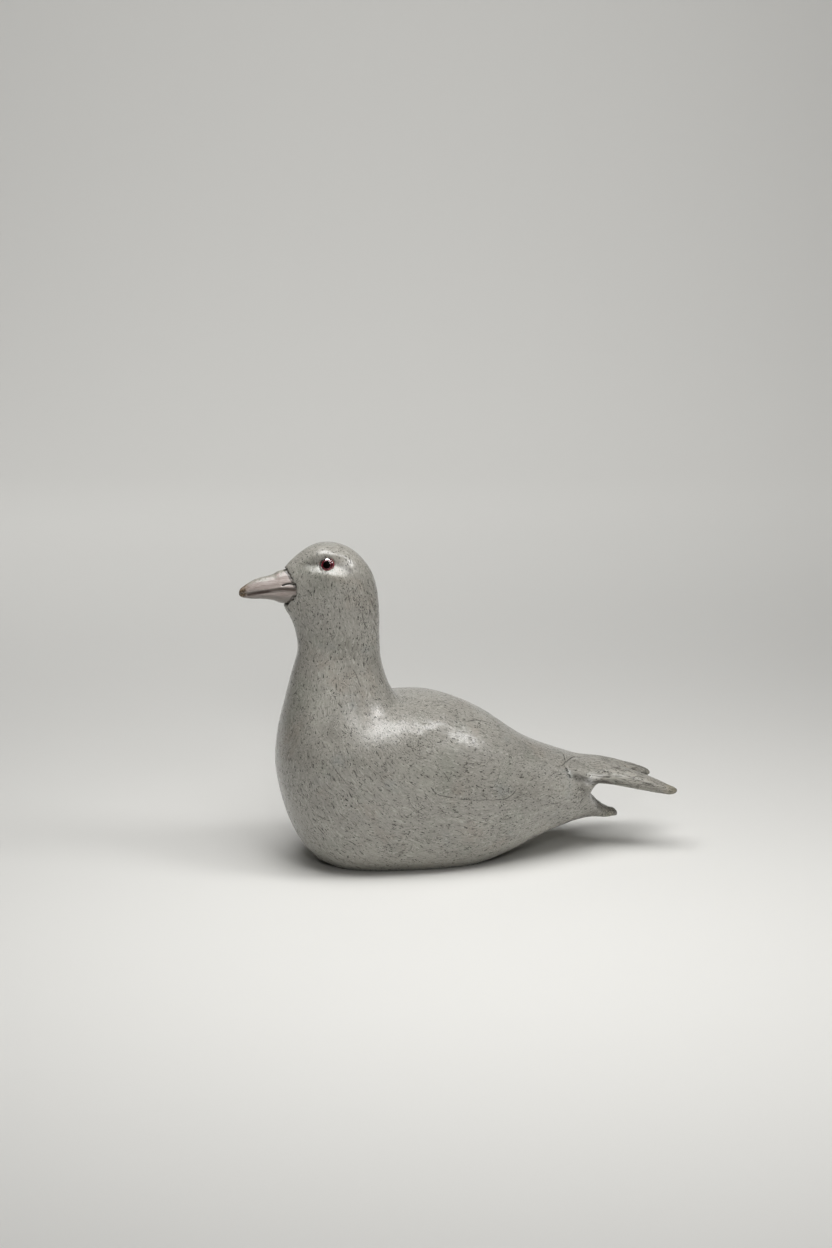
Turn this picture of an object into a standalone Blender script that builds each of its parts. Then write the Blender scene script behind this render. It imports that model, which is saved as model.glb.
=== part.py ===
"""Seagull statue: a carved wooden gull lying on its belly, with an inset bill and two glass eyes.

Units are metres and +Z is up. The gull looks along -X, its left side faces -Y, and the origin lies on
the ground under the middle of its length. The carving is a smooth surface drawn over a cage of quads:
sections that follow the spine from the face to the rump, which part there into the folded wing tips
and the tail.
"""

import math

import bmesh
import bpy
from mathutils import Matrix, Vector
from mathutils.bvhtree import BVHTree

# Driving dimensions
LENGTH = 0.340
HEIGHT = 0.252
WIDTH = 0.126

# Bill, measured from the face
BILL_REACH = 0.0342
BILL_ROOT = 0.019
BILL_HEIGHT = 0.0260
BILL_WIDTH = 0.0212
MOUTH_DEPTH = 0.0010

# Glass eyes and their seats
EYE_DIAMETER = 0.010
EYE_DEPTH = 0.0045
EYE_RISE = 0.0021
EYE_SINK = 0.0004

# Clearance round each inset piece
FIT = 0.0003

# Relief round the eyes
CHANNEL_DEPTH = 0.0024
CHANNEL_SPREAD = 0.0050
BROW_RISE = 0.0012
CHEEK_RISE = 0.0015

# Fineness of the surfaces
RING = 12
EVEN_TURNS = tuple(range(0, 360, 360 // RING))
BODY_LEVELS = 2
BILL_LEVELS = 1
FIT_ROUNDS = 8
EYE_SIDES = 16
DOME_STEPS = 3

# Middle of the face, where the bill leaves the head, as (along, up), how far the sides of the face lie
# behind it, and how far its rim lies inside the bill's outline. Here and below, along and behind are
# hundredths of LENGTH, up of HEIGHT, and widths of WIDTH.
FACE = (-39.95, 86.75)
FACE_BEHIND = 1.7
FACE_INSET = 0.0003

# Sections of the carving, from the face to the root of the wings. Each gives its dorsal and its ventral
# point as (along, up), its half-width, how far its sides lie behind the line between the two points, and
# the power that makes it round (1) or fuller (less).
SECTIONS = (
    ("forehead", (-37.5, 95.8), (-39.2, 79.4), 13.1, 3.8, 1.0),
    ("crown", (-31.9, 99.9), (-38.2, 76.7), 18.3, 3.8, 1.0),
    ("back of the head", (-25.0, 98.1), (-37.5, 73.8), 19.5, 2.9, 1.0),
    ("nape", (-20.1, 90.6), (-37.0, 70.4), 19.5, 1.5, 1.0),
    ("neck", (-18.4, 79.0), (-36.9, 66.5), 20.1, 0.3, 1.0),
    ("neck root", (-18.2, 65.1), (-38.1, 60.5), 23.4, 0.0, 0.95),
    ("collar", (-16.0, 55.0), (-40.4, 48.4), 31.7, 0.0, 0.90),
    ("saddle", (-13.4, 51.8), (-42.0, 34.9), 40.9, 0.0, 0.88),
    ("shoulder", (-8.2, 52.2), (-40.6, 20.2), 47.2, 0.0, 0.88),
    ("breast", (-0.5, 49.5), (-33.0, 1.6), 49.8, 0.0, 0.88),
    ("back", (7.5, 43.6), (-16.8, -3.6), 49.2, 0.0, 0.85),
    ("loin", (14.7, 36.6), (0.9, -3.2), 43.3, 0.0, 0.85),
    ("rump", (22.2, 31.8), (16.2, 4.5), 33.7, 0.0, 0.85),
    ("wing root", (28.5, 28.8), (27.9, 9.3), 25.4, 0.0, 0.85),
)

# The bottom of the notch between wings and tail, as (along, up), its half-width, and how far it bows
# forward at its sides
NOTCH = (29.9, 19.4)
NOTCH_HALF_WIDTH = 21.0
NOTCH_BOW = 1.0

# The plate of the two folded wings: along, up, half-width, half-height (of HEIGHT)
WING_PLATE = (33.2, 23.9, 21.4, 3.6)

# The crotch between the wing tips, as (along, up)
CROTCH = (38.1, 22.8)

# Wing tips: along, across (of WIDTH), up, half-width, half-height. The last one is where each ends.
LEFT_TIP = (
    (40.3, -13.9, 22.0, 9.5, 2.8),
    (44.4, -16.7, 20.4, 7.1, 2.25),
    (47.8, -18.7, 18.9, 4.8, 1.55),
)
LEFT_END = (50.0, -19.3, 18.4)
RIGHT_TIP = (
    (40.0, 13.9, 21.5, 9.1, 2.6),
    (44.4, 17.1, 19.9, 6.3, 1.95),
)
RIGHT_END = (47.6, 18.5, 19.0)

# Tail: along, across, up, half-width, half-height, and its end
TAIL = (
    (33.5, 0.0, 11.0, 8.6, 2.25),
    (36.1, 0.0, 10.0, 4.7, 1.5),
)
TAIL_END = (37.9, 0.0, 9.3)

# Sections of the bill, from the end inside the head over the one at its seat to near its tip: along, as
# hundredths of its root behind the face and of its reach before it, top and bottom of its height, and
# half-width of its width. Its points lie closer together at the mouth line, which runs from the seat
# towards the tip.
BILL_SECTIONS = (
    (-100, 46.5, -46.0, 45.0),
    (-10, 55.5, -48.0, 48.0),
    (22, 41.5, -36.0, 42.5),
    (51, 33.5, -29.5, 34.5),
    (74, 22.0, -28.0, 25.0),
    (91, 8.0, -23.5, 14.0),
)
BILL_SEAT = BILL_SECTIONS[1]
BILL_END = (100, -10)

# Where the rim of the face crosses the bill's top and its bottom, as points on the bill: the rim leans
# back below
FACE_TOP = (3, 50.5)
FACE_BOTTOM = (1, -46.5)
BILL_TURNS = (0, 40, 84, 101, 118, 150, 180, 210, 242, 259, 276, 320)
MOUTH_TURNS = (101, 259)

# Place of the eyes, of the channel that they lie in and of the bulges above and below, as (along, up)
EYE = (-31.1, 94.8)
CHANNEL_FRONT = -36.5
CHANNEL_BACK = -25.6
BROW = (-31.1, 97.8)
CHEEK = (-29.7, 91.6)
BULGE_LENGTH = 0.012
BULGE_HEIGHT = 0.0065


def clear_scene():
    for obj in list(bpy.data.objects):
        bpy.data.objects.remove(obj, do_unlink=True)


def material(name, colour, roughness, coat=0.0):
    """A plain finish; the colour is given in linear values."""
    made = bpy.data.materials.new(name)
    made.use_nodes = True
    shader = made.node_tree.nodes["Principled BSDF"]
    shader.inputs["Base Color"].default_value = (*colour, 1.0)
    shader.inputs["Roughness"].default_value = roughness
    shader.inputs["Metallic"].default_value = 0.0
    shader.inputs["Coat Weight"].default_value = coat
    made.diffuse_color = (*colour, 1.0)
    return made


def object_from(bm, name, finish):
    """A smooth-shaded object made of the bmesh, which is used up."""
    bmesh.ops.recalc_face_normals(bm, faces=bm.faces)
    mesh = bpy.data.meshes.new(name)
    bm.to_mesh(mesh)
    bm.free()
    mesh.shade_smooth()
    made = bpy.data.objects.new(name, mesh)
    bpy.context.collection.objects.link(made)
    if finish:
        mesh.materials.append(finish)
    return made


def place(along, up, across=0.0):
    """A point from hundredths of the three driving dimensions."""
    return Vector((along * LENGTH, across * WIDTH, up * HEIGHT)) / 100


def spine_section(top, bottom, half_width, behind, power, turns=EVEN_TURNS):
    """Points round one section, from its dorsal point over the left side to the ventral point and back."""
    points = []
    for turn in map(math.radians, turns):
        point = top.lerp(bottom, (1 - math.cos(turn)) / 2)
        side = math.copysign(abs(math.sin(turn)) ** power, math.sin(turn))
        point.x += behind * math.sin(turn) ** 2
        point.y = -half_width * side
        points.append(point)
    return points


def oval_section(centre, half_width, half_height, count):
    """Points round an upright oval, in the same order as in a spine section."""
    turns = [2 * math.pi * step / count for step in range(count)]
    return [
        centre + Vector((0, -half_width * math.sin(turn), half_height * math.cos(turn)))
        for turn in turns
    ]


def add_ring(bm, points):
    return [bm.verts.new(point) for point in points]


def join_rings(bm, ring, following):
    for step in range(len(ring)):
        after = (step + 1) % len(ring)
        bm.faces.new((ring[step], ring[after], following[after], following[step]))


def close_ring(bm, ring, end):
    """Closes a ring with quads round a middle row of vertices, pushed out as far as the end point."""
    count = len(ring)
    half = count // 2
    centre = sum((vertex.co for vertex in ring), Vector()) / count
    push = end - centre
    middle = [None]
    for step in range(1, half):
        between = (ring[step].co + ring[count - step].co) / 2
        off_centre = abs(2 * step / half - 1)
        middle.append(bm.verts.new(between.lerp(centre, 0.25) + push * (1 - 0.6 * off_centre**2)))
    bm.faces.new((ring[0], ring[1], middle[1], ring[count - 1]))
    for step in range(1, half - 1):
        bm.faces.new((ring[step], ring[step + 1], middle[step + 1], middle[step]))
        bm.faces.new((ring[count - step], middle[step], middle[step + 1], ring[count - step - 1]))
    bm.faces.new((ring[half - 1], ring[half], ring[half + 1], middle[half - 1]))


def limit_point(vertex):
    """Where a vertex among quads lands on the smooth surface of an endless subdivision."""
    count = len(vertex.link_edges)
    total = count * count * vertex.co
    for edge in vertex.link_edges:
        total += 4 * edge.other_vert(vertex).co
    for face in vertex.link_faces:
        corners = list(face.verts)
        total += corners[(corners.index(vertex) + 2) % 4].co
    return total / (count * (count + 5))


def fit_cage(bm):
    """Moves the cage until its smooth surface passes through the points that it was drawn with."""
    goals = [vertex.co.copy() for vertex in bm.verts]
    for _ in range(FIT_ROUNDS):
        landed = [limit_point(vertex) for vertex in bm.verts]
        for vertex, goal, point in zip(bm.verts, goals, landed):
            vertex.co += goal - point


def smoothed(cage, levels):
    """The cage object with its subdivision made real."""
    subdivision = cage.modifiers.new("Smooth surface", "SUBSURF")
    subdivision.levels = levels
    subdivision.render_levels = levels
    graph = bpy.context.evaluated_depsgraph_get()
    mesh = bpy.data.meshes.new_from_object(cage.evaluated_get(graph))
    cage.modifiers.remove(subdivision)
    cage.data = mesh
    return cage


def half_width_of(share):
    return share * WIDTH / 100


def add_limb(bm, ring, sections, end):
    """Runs a wing tip or the tail out of a ring and closes it."""
    for along, across, up, half_width, half_height in sections:
        oval = oval_section(
            place(along, up, across), half_width_of(half_width), half_height * HEIGHT / 100, len(ring)
        )
        following = add_ring(bm, oval)
        join_rings(bm, ring, following)
        ring = following
    along, across, up = end
    close_ring(bm, ring, place(along, up, across))


def bill_point(along, up):
    """A point in the bill's middle plane from hundredths of its own sizes."""
    out = along * (BILL_REACH if along > 0 else BILL_ROOT)
    return place(*FACE) + Vector((-out, 0, up * BILL_HEIGHT)) / 100


def face_rim():
    """The first section of the carving, which the bill covers from within."""
    inset = Vector((0, 0, FACE_INSET))
    return spine_section(
        bill_point(*FACE_TOP) - inset,
        bill_point(*FACE_BOTTOM) + inset,
        BILL_SEAT[3] * BILL_WIDTH / 100 - FACE_INSET,
        FACE_BEHIND * LENGTH / 100,
        1.0,
    )


def carving_cage():
    bm = bmesh.new()
    rings = [add_ring(bm, face_rim())]
    for _, dorsal, ventral, half_width, behind, power in SECTIONS:
        points = spine_section(
            place(*dorsal), place(*ventral), half_width_of(half_width), behind * LENGTH / 100, power
        )
        rings.append(add_ring(bm, points))
    for ring, following in zip(rings, rings[1:]):
        join_rings(bm, ring, following)
    close_ring(bm, rings[0], (rings[0][0].co + rings[0][RING // 2].co) / 2)

    root = rings[-1]
    row = []
    for step in range(1, 6):
        aside = step / 3 - 1
        along, up = NOTCH
        row.append(bm.verts.new(place(along - NOTCH_BOW * aside**2, up, NOTCH_HALF_WIDTH * aside)))
    wings = [*root[0:4], *row, *root[9:12]]
    tail = [row[2], row[1], row[0], *root[3:10], row[4], row[3]]
    add_limb(bm, tail, TAIL, TAIL_END)

    along, up, half_width, half_height = WING_PLATE
    oval = oval_section(place(along, up), half_width_of(half_width), half_height * HEIGHT / 100, RING)
    plate = add_ring(bm, oval)
    join_rings(bm, wings, plate)
    crotch = bm.verts.new(place(*CROTCH))
    left = [*plate[1:7], crotch, plate[0]]
    right = [plate[11], plate[0], crotch, *plate[6:11]]
    add_limb(bm, left, LEFT_TIP, LEFT_END)
    add_limb(bm, right, RIGHT_TIP, RIGHT_END)
    fit_cage(bm)
    return bm


def bulge(point, centre, length, height):
    """1 at the centre, falling smoothly to 0 along and up from it."""
    return math.exp(-(((point.x - centre.x) / length) ** 2) - ((point.z - centre.z) / height) ** 2)


def ease(value):
    value = min(max(value, 0.0), 1.0)
    return value * value * (3 - 2 * value)


def carve_face(mesh):
    """Hollows the channel that the eyes lie in and raises the brow above it and the cheek below."""
    front = CHANNEL_FRONT * LENGTH / 100
    back = CHANNEL_BACK * LENGTH / 100
    fade = (back - front) / 4
    moves = []
    for vertex in mesh.vertices:
        point = vertex.co
        inside = ease((point.x - front) / fade) * ease((back - point.x) / fade)
        aside = ease(abs(vertex.normal.y) * 2 - 0.3)
        channel = inside * math.exp(-(((point.z - place(*EYE).z) / CHANNEL_SPREAD) ** 2))
        rise = -CHANNEL_DEPTH * channel
        rise += BROW_RISE * bulge(point, place(*BROW), BULGE_LENGTH, BULGE_HEIGHT)
        rise += CHEEK_RISE * bulge(point, place(*CHEEK), BULGE_LENGTH, BULGE_HEIGHT)
        moves.append(vertex.normal * rise * aside)
    for vertex, move in zip(mesh.vertices, moves):
        vertex.co += move


def bill_cage(mouth_depth):
    bm = bmesh.new()
    rings = []
    for along, top, bottom, half_width in BILL_SECTIONS:
        points = spine_section(
            bill_point(along, top),
            bill_point(along, bottom),
            half_width * BILL_WIDTH / 100,
            0.0,
            1.0,
            BILL_TURNS,
        )
        if rings:
            for step in map(BILL_TURNS.index, MOUTH_TURNS):
                points[step].y -= math.copysign(mouth_depth, points[step].y)
        rings.append(add_ring(bm, points))
    for ring, following in zip(rings, rings[1:]):
        join_rings(bm, ring, following)
    close_ring(bm, rings[0], (rings[0][0].co + rings[0][RING // 2].co) / 2)
    close_ring(bm, rings[-1], bill_point(*BILL_END))
    fit_cage(bm)
    if mouth_depth == 0:
        return bm
    crease = bm.edges.layers.float.new("crease_edge")
    for ring, following in zip(rings[1:], rings[2:]):
        for step in map(BILL_TURNS.index, MOUTH_TURNS):
            bm.edges.get((ring[step], following[step]))[crease] = 1.0
    return bm


def grown(source, margin):
    """The object with its surface moved out by the margin."""
    normals = [vertex.normal.copy() for vertex in source.data.vertices]
    for vertex, normal in zip(source.data.vertices, normals):
        vertex.co += normal * margin
    return source


def turned(name, profile, finish, matrix):
    """A round solid from a profile of (radius, height) points that starts and ends on its axis."""
    bm = bmesh.new()
    foot = bm.verts.new((0, 0, profile[0][1]))
    crown = bm.verts.new((0, 0, profile[-1][1]))
    rings = []
    for radius, height in profile[1:-1]:
        turns = [2 * math.pi * step / EYE_SIDES for step in range(EYE_SIDES)]
        rings.append(
            add_ring(bm, [(radius * math.cos(turn), radius * math.sin(turn), height) for turn in turns])
        )
    for ring, following in zip(rings, rings[1:]):
        join_rings(bm, ring, following)
    for step in range(EYE_SIDES):
        after = (step + 1) % EYE_SIDES
        bm.faces.new((foot, rings[0][after], rings[0][step]))
        bm.faces.new((crown, rings[-1][step], rings[-1][after]))
    bm.transform(matrix)
    made = object_from(bm, name, finish)
    made.data.set_sharp_from_angle(angle=math.radians(40))
    return made


def eye_profile():
    """A flat-backed disc with a domed front; heights are measured from the head's surface."""
    radius = EYE_DIAMETER / 2
    profile = [(0.0, -EYE_DEPTH), (radius, -EYE_DEPTH)]
    for step in range(DOME_STEPS + 1):
        turn = math.pi / 2 * step / DOME_STEPS
        profile.append((radius * math.cos(turn), -EYE_SINK + (EYE_RISE + EYE_SINK) * math.sin(turn)))
    return profile


def socket_profile():
    radius = EYE_DIAMETER / 2 + FIT
    floor = -EYE_DEPTH - FIT
    reach = EYE_RISE + EYE_DEPTH
    return [(0.0, floor), (radius, floor), (radius, reach), (0.0, reach)]


def eye_matrix(head, side):
    """Sits on the head's surface at the eye's place, its Z axis pointing out; side is -1 for the left."""
    start = place(*EYE) + Vector((0, side * WIDTH, 0))
    point, normal, _, _ = head.ray_cast(start, Vector((0, -side, 0)))
    return Matrix.Translation(point) @ normal.to_track_quat("Z", "Y").to_matrix().to_4x4()


def cut(target, cutter):
    cutter.hide_render = True
    cutter.display_type = "WIRE"
    boolean = target.modifiers.new("Cut " + cutter.name, "BOOLEAN")
    boolean.operation = "DIFFERENCE"
    boolean.solver = "EXACT"
    boolean.object = cutter


def ground_block():
    """What lies below the flat foot, wider than the carving all round."""
    bm = bmesh.new()
    bmesh.ops.create_cube(bm, size=1.0)
    bm.transform(Matrix.Diagonal((2 * LENGTH, 2 * WIDTH, HEIGHT, 1)))
    bm.transform(Matrix.Translation((0, 0, -HEIGHT / 2)))
    return object_from(bm, "ground_block", None)


def build():
    clear_scene()
    wood = material("limed_wood", (0.235, 0.228, 0.205), 0.42)
    horn = material("bill_horn_paint", (0.33, 0.275, 0.25), 0.35)
    glass = material("crimson_glass", (0.22, 0.012, 0.016), 0.05, coat=1.0)

    carving = smoothed(object_from(carving_cage(), "gull_carving", wood), BODY_LEVELS)
    carve_face(carving.data)
    smoothed(object_from(bill_cage(MOUTH_DEPTH), "bill", horn), BILL_LEVELS)
    plain_bill = smoothed(object_from(bill_cage(0.0), "bill_socket", None), BILL_LEVELS)

    cut(carving, ground_block())
    cut(carving, grown(plain_bill, FIT))

    bm = bmesh.new()
    bm.from_mesh(carving.data)
    head = BVHTree.FromBMesh(bm)
    bm.free()
    for name, side in (("left_eye", -1), ("right_eye", 1)):
        matrix = eye_matrix(head, side)
        turned(name, eye_profile(), glass, matrix)
        cut(carving, turned(name + "_socket", socket_profile(), None, matrix))


build()
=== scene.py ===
"""Seagull statue: the carving's limed and waxed surface, the painted bill, the glass eyes and a pale studio.

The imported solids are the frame. The carving is remeshed over its own solid and worked over with tool
facets, checks, pits and weathered grooves; the bill gets its ragged joint, mouth line and nostrils; each
eye is a clear glass dome in a painted cup. Lengths inside the functions are millimetres unless the name
says otherwise, and the gull looks along -X with its left side towards -Y.
"""

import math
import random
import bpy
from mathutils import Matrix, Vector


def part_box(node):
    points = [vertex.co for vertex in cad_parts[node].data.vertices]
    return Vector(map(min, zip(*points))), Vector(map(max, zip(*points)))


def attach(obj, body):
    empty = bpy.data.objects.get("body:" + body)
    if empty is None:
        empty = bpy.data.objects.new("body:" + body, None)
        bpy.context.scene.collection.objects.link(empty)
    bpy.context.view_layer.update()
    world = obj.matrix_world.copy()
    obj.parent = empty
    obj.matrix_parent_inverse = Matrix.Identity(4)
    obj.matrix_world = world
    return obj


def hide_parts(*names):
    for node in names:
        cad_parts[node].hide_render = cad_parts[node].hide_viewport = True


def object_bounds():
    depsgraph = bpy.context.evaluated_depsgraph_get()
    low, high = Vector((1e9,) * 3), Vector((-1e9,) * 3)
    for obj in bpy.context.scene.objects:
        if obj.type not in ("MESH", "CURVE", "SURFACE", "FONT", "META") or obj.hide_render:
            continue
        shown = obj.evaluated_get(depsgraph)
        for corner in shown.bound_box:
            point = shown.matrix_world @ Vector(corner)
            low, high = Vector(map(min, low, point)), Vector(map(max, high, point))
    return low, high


bl_info = {
    "name": "Seagull Statue",
    "version": (1, 0, 0),
    "blender": (4, 5, 0),
    "location": "3D View > Sidebar > Seagull Statue",
    "description": "Dresses the solids of a carved seagull and sets it in a pale studio",
    "category": "Object",
}

import bmesh
import bpy
import numpy as np
from bpy.props import FloatProperty, FloatVectorProperty, IntProperty, PointerProperty
from mathutils import Matrix, Vector, noise
from mathutils.bvhtree import BVHTree
from mathutils.kdtree import KDTree

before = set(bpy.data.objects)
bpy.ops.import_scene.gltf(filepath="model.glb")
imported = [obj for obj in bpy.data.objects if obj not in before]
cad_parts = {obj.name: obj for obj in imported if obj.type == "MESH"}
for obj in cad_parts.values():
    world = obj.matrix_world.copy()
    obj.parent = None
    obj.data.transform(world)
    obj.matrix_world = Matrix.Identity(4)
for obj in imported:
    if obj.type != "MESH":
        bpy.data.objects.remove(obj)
CAD_LOW, CAD_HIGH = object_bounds()

MM = 0.001
LENGTH, WIDTH, HEIGHT = (CAD_HIGH - CAD_LOW) / MM
PANEL_WORD = "Seagull Statue"

# The photograph's camera: its frame, the way it looks, the size of a pixel where the origin lies, and
# where the origin lands
PHOTO_SIZE = (832, 1248)
PHOTO_AZIMUTH = -12.0
PHOTO_ELEVATION = 14.0
LENS = 85.0
SENSOR = 36.0
PIXEL = 0.78145
ORIGIN_PIXEL = (458.1, 851.6)

# The line that the wood's grain follows through the head, neck, body and wings, as (along, up) in
# hundredths of the length from the middle and of the height
GRAIN_LINE = (
    (-33.5, 112.0),
    (-31.5, 92.0),
    (-28.5, 76.0),
    (-28.0, 62.0),
    (-26.0, 48.0),
    (-20.0, 34.0),
    (-9.0, 25.0),
    (5.0, 20.0),
    (20.0, 19.0),
    (34.0, 22.0),
    (56.0, 17.0),
)

# Checks and pits that the photograph shows on the left side: their points as its pixels, the half-width
# of the dark line, and the depth of the hollow
NAMED_MARKS = (
    ("wing edge, front", ((430, 786), (437, 794), (452, 798)), 0.32, 0.3),
    ("wing edge, middle", ((458, 799), (473, 800), (490, 800)), 0.30, 0.3),
    ("wing edge, back", ((493, 800), (505, 799), (512, 795), (517, 789)), 0.34, 0.3),
    ("arc under the wing", ((408, 797), (412, 806), (419, 812), (426, 816)), 0.24, 0.2),
    ("second arc", ((415, 793), (419, 802), (427, 809)), 0.22, 0.2),
    ("third arc", ((423, 789), (428, 799), (436, 805)), 0.20, 0.2),
    ("check on the back", ((465, 722), (474, 720), (484, 721), (493, 724)), 0.30, 0.3),
    ("check at the shoulder", ((440, 701), (452, 705), (459, 709)), 0.20, 0.2),
    ("check above the wing", ((512, 735), (524, 743), (536, 750)), 0.22, 0.2),
    ("branching check", ((553, 752), (562, 753), (566, 761), (573, 757), (585, 756)), 0.34, 0.5),
    ("branch below", ((566, 761), (563, 765), (556, 766)), 0.26, 0.3),
    ("knot, upper", ((566, 767), (568, 771)), 1.00, 0.5),
    ("knot, lower", ((568, 773), (571, 778)), 0.90, 0.5),
    ("slit in the wing", ((601, 772), (607, 771), (613, 773)), 0.45, 0.6),
    ("check along the wing", ((582, 763), (590, 768), (600, 767)), 0.26, 0.2),
    ("lower check of the wing", ((612, 783), (626, 785), (640, 788)), 0.28, 0.3),
    ("check near the tip", ((634, 780), (646, 783), (655, 786)), 0.24, 0.2),
    ("tail check", ((540, 806), (550, 804), (560, 803)), 0.28, 0.3),
    ("flank check", ((500, 770), (498, 779), (494, 787)), 0.22, 0.2),
    ("breast check", ((332, 765), (340, 776), (348, 785)), 0.24, 0.2),
    ("second breast check", ((354, 770), (357, 778)), 0.34, 0.3),
    ("neck check", ((352, 668), (357, 676), (360, 686)), 0.26, 0.2),
    ("nape check", ((368, 590), (371, 600), (375, 612)), 0.34, 0.3),
    ("second nape check", ((373, 625), (377, 636), (379, 648)), 0.32, 0.3),
    ("third nape check", ((362, 612), (364, 622), (368, 630)), 0.36, 0.3),
)

# Soft hollows and, with a depth below 0, swells: their points as the photograph's pixels, half-width,
# depth, and how dark the wax and the painted shade in them are
RELIEFS = (
    ("brow", ((303, 561), (312, 557), (322, 555), (334, 555), (345, 557)), 2.6, -0.6, 0.0),
    ("cheek", ((312, 575), (322, 577), (334, 577), (344, 580)), 3.4, -0.7, 0.0),
    ("shoulder", ((401, 747), (413, 738), (429, 728), (443, 719)), 9.0, -1.0, 0.0),
    ("tail's top", ((592, 798), (597, 803), (602, 807)), 3.4, -1.2, 0.0),
    ("channel before the eye", ((304, 565), (310, 564), (317, 564)), 2.2, 0.4, 0.55),
    ("channel behind the eye", ((337, 565), (344, 567), (350, 571)), 1.9, 0.2, 0.60),
    ("under the wing's root", ((576, 777), (585, 779), (597, 782), (610, 784)), 2.8, 0.6, 1.0),
    ("between the wing tips", ((620, 766), (634, 769), (648, 774)), 1.0, 1.0, 0.95),
    ("inside of the far tip", ((630, 763), (640, 766), (650, 771)), 1.6, 0.3, 0.60),
    ("before the notch", ((584, 786), (587, 793)), 3.2, 0.4, 0.40),
)

# The scattered marks: their share of all, lengths, half-widths, how far they turn from the grain, and
# how dark they are at least
MARK_KINDS = (
    ("hairline check", 0.20, (4.0, 11.0), (0.17, 0.27), 0.16, 0.45),
    ("dash", 0.48, (1.4, 5.0), (0.26, 0.42), 0.30, 0.70),
    ("pit", 0.32, (0.4, 1.0), (0.40, 0.68), 0.60, 0.75),
)

# Where checks and pits lie closer together than elsewhere: (along, up), the spread in millimetres, and
# how much closer
CROWDED = (
    ((-20.5, 82.0), 14.0, 2.0),
    ((-31.0, 85.0), 13.0, 0.6),
    ((-12.5, 47.0), 13.0, 0.8),
    ((-21.5, 72.0), 12.0, 1.4),
    ((-36.0, 24.0), 26.0, 0.4),
    ((-20.0, 36.0), 22.0, 0.3),
    ((-14.0, 44.0), 16.0, 0.6),
    ((2.0, 24.0), 30.0, 0.5),
    ((20.0, 30.0), 18.0, 0.4),
    ((26.0, 14.0), 15.0, 1.0),
    ((33.0, 11.0), 12.0, 1.2),
)

# The bill's mouth line and nostril on its left side, as the photograph's pixels
MOUTH_PIXELS = ((248.5, 595.0), (259.0, 592.8), (270.8, 590.9), (283.0, 589.4), (294.5, 589.9))
NOSTRIL_PIXELS = ((282.6, 585.5), (286.5, 584.3), (290.5, 583.9), (294.2, 584.9))

# The painted cup behind each eye's glass: the outer radius of each ring as a share of the eye's
IRIS_RINGS = (
    ("pupil_enamel", 0.60, "#050504"),
    ("rose_enamel", 0.72, "#8E4A55"),
    ("crimson_enamel", 1.0, "#84102A"),
)

# Where smoothing spares the carving, from none to nearly all: millimetres from the bill and from the
# middle of an eye, and hundredths of the length
SPARED_BY_BILL = (4.0, 1.5)
SPARED_BY_EYE = (9.0, 6.5)
SPARED_BEHIND = (30.0, 38.0)

# Where the wood is weathered, its tips browned and the tail's edge flecked, from none to full, in
# hundredths of the length and, for the tail, of the height
WEATHERED = (24.0, 36.0)
BROWNED_TIPS = (45.5, 49.5)
TAIL_ALONG = (30.0, 35.0)
TAIL_UP = (14.0, 10.0)

# Widths in millimetres of the large and small tool facets, of the bends in the grain, of a weathered
# groove's patches along and across the grain, and of the chin's swell; and how far the grain bends
LARGE_FACET = 19.0
SMALL_FACET = 6.0
GRAIN_BEND = 15.0
BEND_REACH = 2.6
GROOVE_SHAPE = (9.0, 1.0, 1.0)
GROOVE_WIDTH = 2.6
CHIN = (-38.9, 80.6)
CHIN_WIDTH = 4.5

# The bill: widths in millimetres of its mouth line and nostrils; how far above the mouth line its lip
# lies, with the lip's half-width and reach; and where the face crosses it, as a share from its tip
MOUTH_WIDTH = 1.15
NOSTRIL_WIDTH = 0.55
LIP_UP = 1.7
LIP_WIDTH = 0.7
LIP_REACH = 1.5
FACE_SHARE = 0.64

# The eyes: how high the rim of the dome lies, as a share of the depth, and the thickness of the cup's
# paint and the width of the paper's tooth in millimetres
RIM_SHARE = 0.62
PAINT_SKIN = 0.05
PAPER_TOOTH = 1.1

# How far apart seeds lie in the clouds' fourth dimension, in the pits' pattern and in rough()
SEED_STEP = 3.7
PIT_SEED_STEP = 33.3
ROUGH_SEED_STEP = (17.3, 5.1, 29.7)

# Distance in millimetres that stands for nowhere near
FAR = 9.0

# The softboxes: name, size, place and target in metres. The stage's look has their powers in this order
SOFTBOXES = (
    ("overhead_softbox", (0.80, 0.60), (-0.10, -0.22, 0.95), (-0.08, -0.20, 0.0)),
    ("right_softbox", (0.34, 0.26), (0.60, -0.38, 0.95), (-0.03, 0.0, 0.10)),
    ("glint_softbox", (0.30, 0.22), (0.06, -1.00, 0.98), (-0.10, 0.0, 0.20)),
    ("floor_softbox", (2.4, 0.5), (0.0, 1.0, 1.15), (0.0, 1.75, 0.50)),
    ("wall_softbox", (2.4, 0.8), (0.0, 1.0, 1.60), (0.0, 2.70, 1.70)),
)

# The lamp by the camera: place, target and radius in metres, and its cone in degrees
KEY_PLACE = (-0.30, -1.70, 0.98)
KEY_TARGET = (-0.02, 0.25, 0.08)
KEY_RADIUS = 0.11
KEY_CONE = 32.0


def linear(code):
    """An sRGB hex colour as the linear numbers that shaders take."""
    parts = [int(code[start : start + 2], 16) / 255 for start in (1, 3, 5)]
    return tuple(part / 12.92 if part <= 0.04045 else ((part + 0.055) / 1.055) ** 2.4 for part in parts)


def spot(along, up, across=0.0):
    """A point in millimetres from hundredths of the object's length, height and width."""
    return Vector((along * LENGTH, across * WIDTH, up * HEIGHT)) / 100


def ease(values, low, high):
    """0 below low, 1 above high, smooth between; high may be the lower one."""
    share = np.clip((np.asarray(values, float) - low) / (high - low), 0.0, 1.0)
    return share * share * (3 - 2 * share)


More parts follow.
